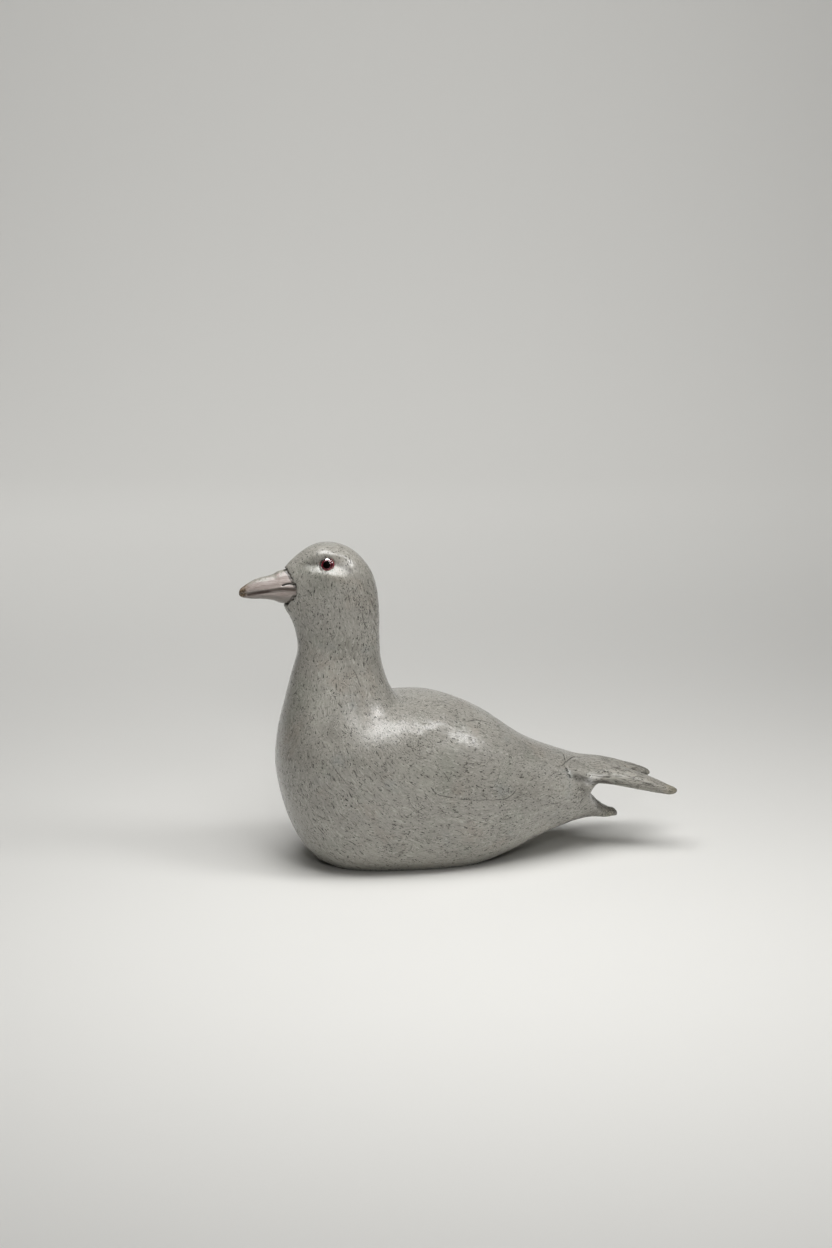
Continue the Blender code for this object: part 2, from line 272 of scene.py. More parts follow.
def camera_axes():
    """The photograph's camera: its place in millimetres and its right, up and back directions."""
    azimuth, elevation = math.radians(PHOTO_AZIMUTH), math.radians(PHOTO_ELEVATION)
    flat = math.cos(elevation)
    back = Vector((math.sin(azimuth) * flat, -math.cos(azimuth) * flat, math.sin(elevation)))
    right = Vector((math.cos(azimuth), math.sin(azimuth), 0.0))
    up = back.cross(right)
    distance = LENS / SENSOR * max(PHOTO_SIZE) * PIXEL
    aside = (ORIGIN_PIXEL[0] - PHOTO_SIZE[0] / 2) * PIXEL
    above = (ORIGIN_PIXEL[1] - PHOTO_SIZE[1] / 2) * PIXEL
    return back * distance - right * aside + up * above, right, up, back


def seen_at(tree, pixel):
    """The point of a surface, in millimetres, that the photograph shows at a pixel."""
    place, right, up, back = camera_axes()
    focal = LENS / SENSOR * max(PHOTO_SIZE)
    aside = (pixel[0] - PHOTO_SIZE[0] / 2) / focal
    above = (PHOTO_SIZE[1] / 2 - pixel[1]) / focal
    point = tree.ray_cast(place, (right * aside + up * above - back).normalized())[0]
    if point is None:
        raise RuntimeError(f"No surface lies behind the photograph's pixel {pixel}")
    return point


class Surface:
    """A piece's mesh as arrays in millimetres, with the sums that smoothing needs."""

    def __init__(self, mesh):
        self.mesh = mesh
        count = len(mesh.vertices)
        self.points = np.empty(count * 3)
        mesh.vertices.foreach_get("co", self.points)
        self.points = self.points.reshape(-1, 3) / MM
        ends = np.empty(len(mesh.edges) * 2, np.int64)
        mesh.edges.foreach_get("vertices", ends)
        self.first, self.second = ends.reshape(-1, 2).T
        both = np.concatenate((self.first, self.second))
        self.valence = np.bincount(both, minlength=count)[:, None]

    def around(self, values):
        """The mean of the values at each vertex's neighbours."""
        count = len(values)
        sums = [
            np.bincount(self.first, column[self.second], count)
            + np.bincount(self.second, column[self.first], count)
            for column in values.T
        ]
        return np.stack(sums, axis=1) / self.valence

    def relax(self, rounds, share):
        """Smooths without shrinking: each round draws vertices in, then lets them out a little more."""
        share = np.asarray(share, float).reshape(-1, 1)
        for _ in range(rounds):
            for step in (0.60, -0.62):
                self.points += step * share * (self.around(self.points) - self.points)

    def normals(self):
        self.store()
        found = np.empty(len(self.points) * 3, np.float32)
        self.mesh.vertex_normals.foreach_get("vector", found)
        return found.reshape(-1, 3).astype(float)

    def store(self):
        self.mesh.vertices.foreach_set("co", (self.points * MM).ravel())
        self.mesh.update()

    def keep(self, name, values):
        """Stores one number, or three, at each vertex for the materials to read."""
        values = np.asarray(values, np.float32)
        kind, key = ("FLOAT", "value") if values.ndim == 1 else ("FLOAT_VECTOR", "vector")
        attribute = self.mesh.attributes.new(name, kind, "POINT")
        attribute.data.foreach_set(key, values.ravel())


def rough(points, size, seed, octaves=3):
    """Smooth random values about 0 at the points, with bumps of the size in millimetres."""
    shift = Vector([seed * step for step in ROUGH_SEED_STEP])
    return np.array([noise.fractal(Vector(point) / size + shift, 0.6, 2.0, octaves) for point in points])


def tree_of(mesh):
    """A search tree over the mesh, in millimetres."""
    bm = bmesh.new()
    bm.from_mesh(mesh)
    bm.transform(Matrix.Scale(1 / MM, 4))
    tree = BVHTree.FromBMesh(bm)
    bm.free()
    return tree


def remeshed(node, name, voxel):
    """A new object over a CAD node's solid, as even quads of the voxel's size in metres."""
    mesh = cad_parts[node].data.copy()
    mesh.name = name
    bm = bmesh.new()
    bm.from_mesh(mesh)
    bmesh.ops.remove_doubles(bm, verts=bm.verts, dist=0.01 * MM)
    bm.to_mesh(mesh)
    bm.free()
    mesh.materials.clear()
    piece = bpy.data.objects.new(name, mesh)
    bpy.context.scene.collection.objects.link(piece)
    remesh = piece.modifiers.new("Even quads", "REMESH")
    remesh.mode = "VOXEL"
    remesh.voxel_size = voxel
    graph = bpy.context.evaluated_depsgraph_get()
    piece.data = bpy.data.meshes.new_from_object(piece.evaluated_get(graph))
    piece.modifiers.clear()
    bpy.data.meshes.remove(mesh)
    piece.data.name = name
    return piece


def curve_through(points, step):
    """Points about a step apart on a smooth curve through the given ones."""
    ends = [points[0] * 2 - points[1], *points, points[-1] * 2 - points[-2]]
    drawn = []
    for before, start, end, after in zip(ends, ends[1:], ends[2:], ends[3:]):
        count = max(1, round((end - start).length / step))
        for number in range(count):
            t = number / count
            bend = (2 * before - 5 * start + 4 * end - after) * t**2
            twist = (3 * start - before - 3 * end + after) * t**3
            drawn.append((2 * start + (end - before) * t + bend + twist) / 2)
    drawn.append(points[-1])
    return drawn


def nearest_on(line, points):
    """For each point: the way to it from the line, the line's direction there and the length up to there."""
    line = np.array([list(point) for point in line])
    starts, spans = line[:-1], np.diff(line, axis=0)
    lengths = np.linalg.norm(spans, axis=1)
    offset = points[:, None, :] - starts[None]
    share = np.clip((offset * spans).sum(2) / (lengths**2), 0.0, 1.0)
    away = offset - share[..., None] * spans
    pick = np.argmin((away**2).sum(2), axis=1)
    rows = np.arange(len(points))
    before = np.concatenate(([0.0], np.cumsum(lengths)))
    way = before[pick] + share[rows, pick] * lengths[pick]
    return away[rows, pick], spans[pick] / lengths[pick, None], way


def grain_of(points):
    """The bent wood's own coordinates at each point, in millimetres: along the grain line, across the
    object, and out from the line; and the grain's direction there."""
    line = curve_through([spot(*place) for place in GRAIN_LINE], 6.0)
    flat = points * (1, 0, 1)
    parts = [nearest_on(line, chunk) for chunk in np.array_split(flat, len(flat) // 4000 + 1)]
    away, direction, way = (np.concatenate(column) for column in zip(*parts))
    out = away[:, 0] * direction[:, 2] - away[:, 2] * direction[:, 0]
    return np.stack((way, points[:, 1], out), axis=1), direction


def crowding(points):
    """How much closer than elsewhere the checks lie at each point."""
    total = np.zeros(len(points))
    for place, spread, amount in CROWDED:
        centre = np.array(spot(*place))
        square = ((points - centre)[:, (0, 2)] ** 2).sum(1)
        total += amount * np.exp(-square / spread**2)
    return total


def walked(tree, start, heading, length, turns):
    """A nearly straight line over a surface from a start, kept on it."""
    line = [start]
    steps = max(1, round(length / 1.2))
    for _ in range(steps):
        heading = (heading + turns() * 0.12).normalized()
        following = tree.find_nearest(line[-1] + heading * (length / steps))[0]
        if following is None or (following - line[-1]).length < length / steps / 4:
            break
        line.append(following)
    return line


def random_marks(surface, tree, direction, count, seed):
    """Checks and pits scattered over the carving, mostly along its grain."""
    chance = random.Random(seed)

    def turns():
        return Vector([chance.gauss(0, 1) for _ in range(3)])

    weight = np.cumsum(0.30 + crowding(surface.points))
    marks = []
    for _ in range(count):
        number = int(np.searchsorted(weight, chance.random() * weight[-1]))
        number = min(number, len(weight) - 1)
        pick = chance.random()
        for _, share, lengths, half_widths, spread, faintest in MARK_KINDS:
            pick -= share
            if pick <= 0:
                break
        half_width = chance.uniform(*half_widths)
        heading = (Vector(direction[number]) + turns() * spread).normalized()
        line = walked(tree, Vector(surface.points[number]), heading, chance.uniform(*lengths), turns)
        if len(line) > 1:
            marks.append((line, half_width, half_width * 0.4, chance.uniform(faintest, 1.0)))
    return marks


def cut_marks(surface, named, scattered, reach=1.7):
    """Presses each mark into the surface and notes, near it, the place beside it and along it. A
    scattered mark is left out where it would come too near another."""
    count = len(surface.points)
    index = KDTree(count)
    for number, point in enumerate(surface.points):
        index.insert(point, number)
    index.balance()
    normals = surface.normals()
    beside = np.full(count, FAR)
    along = np.full(count, FAR * FAR)
    width = np.full(count, 0.2)
    strength = np.zeros(count)
    nearest = np.full(count, np.inf)
    hollow = np.zeros(count)
    for number, (line, half_width, depth, dark) in enumerate(named + scattered):
        middle = sum(line, Vector()) / len(line)
        span = max((point - middle).length for point in line) + reach
        found = np.array([place for _, place, _ in index.find_range(middle, span)], int)
        away, heading, way = nearest_on(line, surface.points[found])
        distance = np.linalg.norm(away, axis=1)
        near = distance < reach
        found, away, heading, way, distance = (
            part[near] for part in (found, away, heading, way, distance)
        )
        if not len(found) or number >= len(named) and np.isfinite(nearest[found]).any():
            continue
        total = sum((after - before).length for before, after in zip(line, line[1:]))
        side = (np.cross(heading, normals[found]) * away).sum(1)
        past_end = np.sqrt(np.maximum(distance**2 - side**2, 0))
        middle_way = way / total * 2 - 1
        middle_way += past_end * np.sign(middle_way) * 2 / total
        soft = half_width + 0.7
        hollow[found] = np.maximum(hollow[found], depth * np.exp(-((distance / soft) ** 2)))
        closer = distance < nearest[found]
        chosen = found[closer]
        nearest[chosen] = distance[closer]
        beside[chosen] = side[closer]
        along[chosen] = middle_way[closer]
        width[chosen] = half_width
        strength[chosen] = dark
    surface.points -= normals * hollow[:, None]
    surface.keep("mark_beside", beside)
    surface.keep("mark_along", along)
    surface.keep("mark_width", width)
    surface.keep("mark_dark", strength)


def shape_reliefs(surface, tree, normals):
    """Presses the soft hollows in and lifts the swells, the body's on both of its sides. Gives how dark
    each point is with wax and painted shade."""
    wax_and_shade = np.zeros(len(surface.points))
    move = np.zeros(len(surface.points))
    for _, pixels, half_width, depth, dark in RELIEFS:
        line = curve_through([seen_at(tree, pixel) for pixel in pixels], 1.5)
        on_body = max(point.x for point in line) < LENGTH / 5
        for side in (1, -1) if on_body else (1,):
            away, _, _ = nearest_on(line, surface.points * (1, side, 1))
            share = np.exp(-(away**2).sum(1) / half_width**2)
            move -= depth * share
            wax_and_shade = np.maximum(wax_and_shade, dark * share)
    surface.points += normals * move[:, None]
    return wax_and_shade


def add(tree, kind, *inputs, out=0, **settings):
    """Adds a shader node with its settings; its inputs, in order, take values or links. Gives an output."""
    made = tree.nodes.new("ShaderNode" + kind)
    for name, value in settings.items():
        setattr(made, name, value)
    for socket, value in zip(made.inputs, inputs):
        if isinstance(value, bpy.types.NodeSocket):
            tree.links.new(value, socket)
        elif value is not None:
            socket.default_value = value
    return made.outputs[out]


def start_material(name):
    """A new material: its node tree and its Principled shader."""
    made = bpy.data.materials.new(name)
    made.use_nodes = True
    return made, made.node_tree, made.node_tree.nodes["Principled BSDF"]


def patches(tree, space, sizes, seed, low, high, least=0.0, most=1.0, detail=3.0):
    """Cloudy patches of the sizes in millimetres, one for each axis of the space: least where the cloud
    is below low, most where it is above high."""
    scaled = add(tree, "VectorMath", space, tuple(1 / size for size in sizes), operation="MULTIPLY")
    cloud = add(tree, "TexNoise", scaled, seed * SEED_STEP, 1.0, detail, 0.55, noise_dimensions="4D")
    return add(tree, "MapRange", cloud, low, high, least, most, interpolation_type="SMOOTHSTEP")


def pits(tree, space, sizes, seed, density, largest):
    """Pits scattered in stretched cells of the sizes: 1 inside them. Density is the share of cells
    that hold one, and largest its radius as a share of the cell."""
    shifted = add(tree, "VectorMath", space, (seed * PIT_SEED_STEP,) * 3, operation="ADD")
    scaled = add(tree, "VectorMath", shifted, tuple(1 / size for size in sizes), operation="MULTIPLY")
    distance = add(tree, "TexVoronoi", scaled, None, 1.0, voronoi_dimensions="3D")
    chance = add(tree, "SeparateColor", distance.node.outputs["Color"])
    radius = add(tree, "MapRange", chance.node.outputs[1], 0.0, 1.0, largest * 0.45, largest)
    inside = add(tree, "Math", radius, distance, operation="SUBTRACT")
    body = add(tree, "MapRange", inside, -0.01, largest * 0.3, interpolation_type="SMOOTHSTEP")
    kept = add(tree, "Math", chance, density, operation="LESS_THAN")
    return add(tree, "Math", body, kept, operation="MULTIPLY")


def limed_wood(look):
    """Carved softwood, limed grey and waxed: lime left in patches and along the grain, dark wax held in
    pits, checks and tool marks, and a hand-rubbed sheen that is broken where the wood is open. Open
    fibres, a tenth or two of a millimetre wide, are too fine to show, so they are drawn 1 to 2 mm wide."""
    made, tree, shader = start_material("limed_waxed_wood")
    grain, body = (add(tree, "Attribute", out="Vector", attribute_name=name) for name in ("grain", "place"))
    names = ("weather", "crowded", "tips", "tail_edge", "joint", "hollow_wax_and_shade")
    names += ("mark_width", "mark_dark", "mark_beside", "mark_along")
    at = {name: add(tree, "Attribute", out="Fac", attribute_name=name) for name in names}

    # Patches and streaks: colour, the space and size of the pattern, where it starts and is full, amount
    layers = (
        ("#B2B0A7", body, (38, 38, 38), 0.46, 0.70, 0.45),
        ("#77756D", body, (23, 23, 23), 0.50, 0.74, 0.50),
        ("#858A7D", body, (31, 31, 31), 0.52, 0.72, 0.35),
        ("#838C8E", body, (27, 27, 27), 0.56, 0.74, 0.30),
        ("#968A7D", body, (21, 21, 21), 0.54, 0.72, 0.35),
        ("#B3B0A6", grain, (22, 1.7, 1.7), 0.52, 0.72, 0.35),
        ("#65625A", grain, (16, 1.3, 1.3), 0.54, 0.74, 0.40),
        ("#C4C1B8", grain, (6.0, 1.2, 1.2), 0.52, 0.68, 0.42),
        ("#4A4740", grain, (5.0, 1.0, 1.0), 0.53, 0.68, 0.50),
        ("#C0BDB3", body, (1.5, 1.5, 1.5), 0.54, 0.70, 0.28),
        ("#4E4B44", body, (1.2, 1.2, 1.2), 0.55, 0.71, 0.36),
    )
    colour = (*look.lime, 1.0)
    for seed, (code, space, sizes, low, high, amount) in enumerate(layers, 1):
        mask = patches(tree, space, sizes, seed, low, high, most=amount)
        colour = add(tree, "MixRGB", mask, colour, (*linear(code), 1.0))

    # Weathered ends: the grain stands out in long fibres, dark between and pale on top
    for code, low, high, amount in (("#4E4A43", 0.50, 0.64, 0.75), ("#B0A99D", 0.50, 0.36, 0.45)):
        fibres = patches(tree, grain, (26, 1.3, 1.3), 12, low, high, most=amount, detail=5.0)
        fibres = add(tree, "Math", fibres, at["weather"], operation="MULTIPLY")
        colour = add(tree, "MixRGB", fibres, colour, (*linear(code), 1.0))
    colour = add(tree, "MixRGB", at["tips"], colour, (*linear("#8E876E"), 1.0))
    flecks = patches(tree, body, (1.5, 1.5, 1.5), 13, 0.48, 0.58, most=0.75)
    flecks = add(tree, "Math", flecks, at["tail_edge"], operation="MULTIPLY")
    colour = add(tree, "MixRGB", flecks, colour, (*linear("#C6C1AE"), 1.0))

    # Pits lie in loose groups: short dashes along the grain and round specks
    groups = patches(tree, body, (15, 15, 15), 14, 0.38, 0.66, least=0.18, most=0.62)
    density = add(tree, "Math", at["crowded"], 0.35, groups, operation="MULTIPLY_ADD")
    open_wood = pits(tree, grain, (6.2, 1.35, 1.35), 1, density, 0.33)
    for space, sizes, seed, largest in (
        (grain, (3.2, 1.1, 1.1), 3, 0.33),
        (body, (2.1, 2.1, 2.1), 2, 0.24),
    ):
        more = pits(tree, space, sizes, seed, density, largest)
        open_wood = add(tree, "Math", open_wood, more, operation="MAXIMUM")

    # Hairlines: thin breaks in a slow pattern along the grain, there and gone again
    slow = patches(tree, grain, (24, 6.0, 6.0), 16, 0.0, 1.0, detail=4.0)
    centre = add(tree, "Math", slow, 0.5, 0.010, operation="COMPARE")
    gaps = patches(tree, body, (6, 6, 6), 18, 0.53, 0.60, most=0.7)
    hair = add(tree, "Math", centre, gaps, operation="MULTIPLY")

    # Cut checks: a crisp line down the middle of each, broken here and there
    beside = add(tree, "Math", at["mark_beside"], operation="ABSOLUTE")
    ragged = patches(tree, body, (1.4, 1.4, 1.4), 20, 0.34, 0.62, least=0.0, most=1.6)
    edge = add(tree, "Math", at["mark_width"], ragged, operation="MULTIPLY")
    inside = add(tree, "Math", edge, beside, operation="SUBTRACT")
    line = add(tree, "MapRange", inside, -0.10, 0.10, interpolation_type="SMOOTHSTEP")
    along = add(tree, "Math", at["mark_along"], operation="ABSOLUTE")
    ends = add(tree, "MapRange", along, 1.05, 0.75, interpolation_type="SMOOTHSTEP")
    line = add(tree, "Math", line, ends, operation="MULTIPLY")
    line = add(tree, "Math", line, at["mark_dark"], operation="MULTIPLY")

    # Joint round the bill: wax smeared in its ragged edge, nearly gone in places
    smear = patches(tree, body, (1.7, 1.7, 1.7), 21, 0.30, 0.70, least=0.6, most=-0.5)
    edge = add(tree, "Math", at["joint"], smear, operation="ADD")
    seam = add(tree, "MapRange", edge, 1.30, 0.45, interpolation_type="SMOOTHSTEP")
    held = patches(tree, body, (2.6, 2.6, 2.6), 23, 0.38, 0.60, least=0.45)
    seam = add(tree, "Math", seam, held, operation="MULTIPLY")

    # Soft hollows: wax and painted shade lie in them as a ragged dark tone
    held = patches(tree, grain, (4.0, 1.2, 1.2), 25, 0.34, 0.62, least=0.6)
    wax_and_shade_pool = add(tree, "Math", at["hollow_wax_and_shade"], held, operation="MULTIPLY")

    # The dark mixed in here is wax in the pits, checks and joint, and painted shade in the soft hollows
    wax_and_shade = open_wood
    for part in (hair, line, seam, wax_and_shade_pool):
        wax_and_shade = add(tree, "Math", wax_and_shade, part, operation="MAXIMUM")
    shade = add(tree, "Math", wax_and_shade, look.wax_and_shade_strength, operation="MULTIPLY")
    colour = add(tree, "MixRGB", shade, colour, (*look.wax_and_shade, 1.0))
    tree.links.new(colour, shader.inputs["Base Color"])

    sheen = patches(tree, body, (13, 13, 13), 22, 0.3, 0.7, look.roughness - 0.05, look.roughness + 0.07)
    matt = add(tree, "Math", wax_and_shade, 0.3, sheen, operation="MULTIPLY_ADD")
    tree.links.new(matt, shader.inputs["Roughness"])
    # The coat of wax is rubbed off the weathered ends and doesn't shine in the hollows
    dry = add(tree, "Math", wax_and_shade_pool, at["weather"], operation="MAXIMUM")
    coat = add(tree, "Math", dry, -0.85, 0.9, operation="MULTIPLY_ADD")
    tree.links.new(coat, shader.inputs["Coat Weight"])
    shader.inputs["Coat Roughness"].default_value = 0.26

    ripples = patches(tree, grain, (6.0, 0.9, 0.9), 24, 0.0, 1.0, most=0.30, detail=4.0)
    sunk = add(tree, "Math", wax_and_shade, 0.8, operation="MULTIPLY")
    height = add(tree, "Math", ripples, sunk, operation="SUBTRACT")
    bump = add(tree, "Bump", 1.0, 0.20 * MM)
    tree.links.new(height, bump.node.inputs["Height"])
    tree.links.new(bump, shader.inputs["Normal"])
    return made


def horn_paint(look):
    """Wood painted the colour of horn and waxed: smooth and a little glossy, darker at the tip, with the
    carving's grey run over its ridge, and painted shade on its underside, in its mouth line and in its
    nostrils. Bristle marks are too fine to show, so they are drawn 1 mm wide."""
    made, tree, shader = start_material("painted_horn_bill")
    body = add(tree, "Attribute", out="Vector", attribute_name="place")
    lay = add(tree, "Attribute", out="Vector", attribute_name="lay")
    reach = add(tree, "SeparateXYZ", lay)
    facing = reach.node.outputs[2]
    wander = patches(tree, body, (5, 2.5, 2.5), 1, 0.25, 0.75, detail=4.0)

    pale = patches(tree, body, (14, 1.0, 1.0), 2, 0.48, 0.70, most=0.50)
    dull = patches(tree, body, (11, 0.8, 0.8), 3, 0.50, 0.70, most=0.55)
    # Painted shade: the faces that turn downward are darker
    lower = add(tree, "MapRange", facing, 0.15, -0.5, 0.0, 0.75)

    # The ridge is the carving's grey with its specks, and the tip is brownish gold with dark ones
    high = add(tree, "Math", wander, 0.35, facing, operation="MULTIPLY_ADD")
    ridge = add(tree, "MapRange", high, 0.86, 1.02, 0.0, 0.85, interpolation_type="SMOOTHSTEP")
    grey_specks = patches(tree, body, (1.3, 1.3, 1.3), 5, 0.50, 0.60, most=0.75)
    grey_specks = add(tree, "Math", grey_specks, ridge, operation="MULTIPLY")
    far = add(tree, "Math", wander, 0.14, reach, operation="MULTIPLY_ADD")
    tip = add(tree, "MapRange", far, 0.86, 1.0, 0.0, 0.9, interpolation_type="SMOOTHSTEP")
    tip_specks = patches(tree, body, (1.4, 1.4, 1.4), 6, 0.46, 0.56, most=0.9)
    tip_specks = add(tree, "Math", tip_specks, tip, operation="MULTIPLY")

    # Painted shade in the mouth line and the nostrils, and the joint's dark line
    names = ("mouth", "nostril", "joint")
    mouth, nostril, joint = (add(tree, "Attribute", out="Fac", attribute_name=name) for name in names)
    groove = add(tree, "MapRange", mouth, 1.75, 0.75, 0.0, 0.88, interpolation_type="SMOOTHSTEP")
    slit = add(tree, "MapRange", nostril, 0.70, 0.35, 0.0, 0.95, interpolation_type="SMOOTHSTEP")
    edge = add(tree, "Math", wander, 0.7, joint, operation="MULTIPLY_ADD")
    seam = add(tree, "MapRange", edge, 1.15, 0.55, 0.0, 0.85, interpolation_type="SMOOTHSTEP")

    colour = (*look.horn, 1.0)
    for mask, code in (
        (pale, "#C3B6B0"),
        (dull, "#7A6C66"),
        (lower, "#817B75"),
        (ridge, "#96948A"),
        (grey_specks, "#57544B"),
        (tip, "#7E6B52"),
        (tip_specks, "#3A3026"),
        (groove, "#574A42"),
        (slit, "#241F1B"),
        (seam, "#3F3C34"),
    ):
        colour = add(tree, "MixRGB", mask, colour, (*linear(code), 1.0))
    tree.links.new(colour, shader.inputs["Base Color"])

    gloss = add(tree, "MapRange", wander, 0.0, 1.0, look.roughness - 0.04, look.roughness + 0.08)
    tree.links.new(gloss, shader.inputs["Roughness"])
    shader.inputs["Coat Weight"].default_value = 0.35
    shader.inputs["Coat Roughness"].default_value = 0.16
    bump = add(tree, "Bump", 0.6, 0.12 * MM)
    tree.links.new(patches(tree, body, (12, 1.0, 1.0), 8, 0.0, 1.0), bump.node.inputs["Height"])
    tree.links.new(bump, shader.inputs["Normal"])
    return made


def eye_glass(look):
    """Blown glass, flame-polished: clear and mirror-smooth, it magnifies the cup painted behind it."""
    made, _, shader = start_material("clear_eye_glass")
    shader.inputs["Base Color"].default_value = (*look.glass, 1.0)
    shader.inputs["Roughness"].default_value = 0.0
    shader.inputs["IOR"].default_value = 1.5
    shader.inputs["Transmission Weight"].default_value = 1.0
    return made


def eye_enamel(name, code):
    """Enamel brushed on the back of the glass: slightly uneven in tone, with its brush marks 0.6 mm wide."""
    made, tree, shader = start_material(name)
    place = add(tree, "TexCoord", out="Object")
    spread = add(tree, "VectorMath", place, (1 / MM,) * 3, operation="MULTIPLY")
    base = linear(code)
    light = tuple(part * 0.7 + 0.3 * part**0.8 for part in base)
    brushed = patches(tree, spread, (0.6, 0.6, 0.6), 1, 0.35, 0.65)
    colour = add(tree, "MixRGB", brushed, (*base, 1.0), (*light, 1.0))
    tree.links.new(colour, shader.inputs["Base Color"])
    shader.inputs["Roughness"].default_value = 0.35
    return made


def studio_paper(look):
    """Matt background paper, hung as one sweep: no texture that shows, only a trace of tooth, drawn 1.1 mm
    wide because paper's own fibres are too fine to show."""
    made, tree, shader = start_material("matt_background_paper")
    place = add(tree, "TexCoord", out="Object")
    tooth = add(tree, "TexNoise", place, None, 1 / (PAPER_TOOTH * MM), 2.0)
    bump = add(tree, "Bump", 0.15, 0.05 * MM)
    tree.links.new(tooth, bump.node.inputs["Height"])
    tree.links.new(bump, shader.inputs["Normal"])
    shader.inputs["Base Color"].default_value = (*look.paper, 1.0)
    shader.inputs["Roughness"].default_value = 0.9
    shader.inputs["Specular IOR Level"].default_value = 0.2
    return made


def finish_piece(piece, material, slot_name, *nodes):
    """Shades a piece smooth, gives it its material and sets it in the frame."""
    piece.data.shade_smooth()
    piece.data.materials.clear()
    piece.data.materials.append(material)
    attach(piece, "root")
    if nodes:
        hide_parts(*nodes)


def distance_to(tree, points, most):
    """Each point's distance to a surface, at most the given one."""
    found = [tree.find_nearest(Vector(point), most)[3] for point in points]
    return np.array([most if distance is None else distance for distance in found])


class CarvingLook(bpy.types.PropertyGroup):
    """Sizes and colours of the carving's surface"""

    quad: FloatProperty(
        name="Quad size",
        description="Size of the carving's mesh quads",
        default=0.0014,
        min=0.0012,
        unit="LENGTH",
    )
    facet: FloatProperty(
        name="Facet depth", description="Depth of the sanded tool facets", default=0.00018, unit="LENGTH"
    )
    groove: FloatProperty(
        name="Groove depth",
        description="Depth of the weathered grain on the tips",
        default=0.0009,
        unit="LENGTH",
    )
    chin: FloatProperty(
        name="Chin", description="How far the chin swells under the bill", default=0.0006, unit="LENGTH"
    )
    marks: IntProperty(
        name="Marks", description="Number of scattered checks and pits", default=4200, min=0
    )
    seed: IntProperty(name="Seed", description="Start of the random order of the marks", default=7)
    roughness: FloatProperty(
        name="Roughness",
        description="How matt the waxed wood is",
        default=0.36,
        min=0.0,
        max=1.0,
        subtype="FACTOR",
    )
    # Sets how dark both the wax and the painted shade in the soft hollows are
    wax_and_shade_strength: FloatProperty(
        name="Wax strength",
        description="How dark the wax is in the pits",
        default=0.92,
        max=1.0,
        subtype="FACTOR",
    )
    lime: FloatVectorProperty(
        name="Limed wood", description="Ground colour of the wood", default=linear("#96938B"), subtype="COLOR"
    )
    # The colour of the wax and also of the painted shade in the soft hollows
    wax_and_shade: FloatVectorProperty(
        name="Dark wax",
        description="Colour of the wax in pits and checks",
        default=linear("#2E2B25"),
        subtype="COLOR",
    )


class BillLook(bpy.types.PropertyGroup):
    """Sizes and colour of the bill's surface"""

    quad: FloatProperty(
        name="Quad size",
        description="Size of the bill's mesh quads",
        default=0.00045,
        min=0.0004,
        unit="LENGTH",
    )
    mouth: FloatProperty(
        name="Mouth depth", description="Depth of the mouth line", default=0.0008, unit="LENGTH"
    )
    lip: FloatProperty(
        name="Lip height",
        description="How far the upper bill's edge stands out",
        default=0.0003,
        unit="LENGTH",
    )
    nostril: FloatProperty(
        name="Nostril depth", description="Depth of the nostrils", default=0.0011, unit="LENGTH"
    )
    roughness: FloatProperty(
        name="Roughness",
        description="How matt the paint is",
        default=0.32,
        min=0.0,
        max=1.0,
        subtype="FACTOR",
    )
    horn: FloatVectorProperty(
        name="Horn", description="Ground colour of the bill", default=linear("#9D928C"), subtype="COLOR"
    )


class EyeLook(bpy.types.PropertyGroup):
    """Sizes and tint of the glass eyes"""

    wall: FloatProperty(
        name="Glass over the cup",
        description="Depth of the painted cup in the glass",
        default=0.0022,
        unit="LENGTH",
    )
    sides: IntProperty(name="Sides", description="Number of sides of each eye", default=64, min=16)
    glass: FloatVectorProperty(
        name="Glass", description="Tint of the clear glass", default=(1.0, 0.90, 0.91), subtype="COLOR"
    )


class StageLook(bpy.types.PropertyGroup):
    """Colour of the background and powers of the lights"""

    paper: FloatVectorProperty(
        name="Paper", description="Colour of the background sweep", default=linear("#E0DFDB"), subtype="COLOR"
    )
    overhead: FloatProperty(
        name="Overhead light", description="Power over the figure", default=9.0, unit="POWER"
    )
    right: FloatProperty(
        name="Right light", description="Power above the tail", default=3.0, unit="POWER"
    )
    glint: FloatProperty(
        name="Glint light", description="Power above the camera", default=0.9, unit="POWER"
    )
    key: FloatProperty(
        name="Key light", description="Power of the lamp by the camera", default=17.0, unit="POWER"
    )
    floor: FloatProperty(
        name="Floor light", description="Power on the floor behind", default=15.5, unit="POWER"
    )
    wall: FloatProperty(
        name="Wall light", description="Power on the wall", default=8.0, unit="POWER"
    )
    room: FloatProperty(
        name="Room light", description="Strength of the light all round", default=0.005
    )


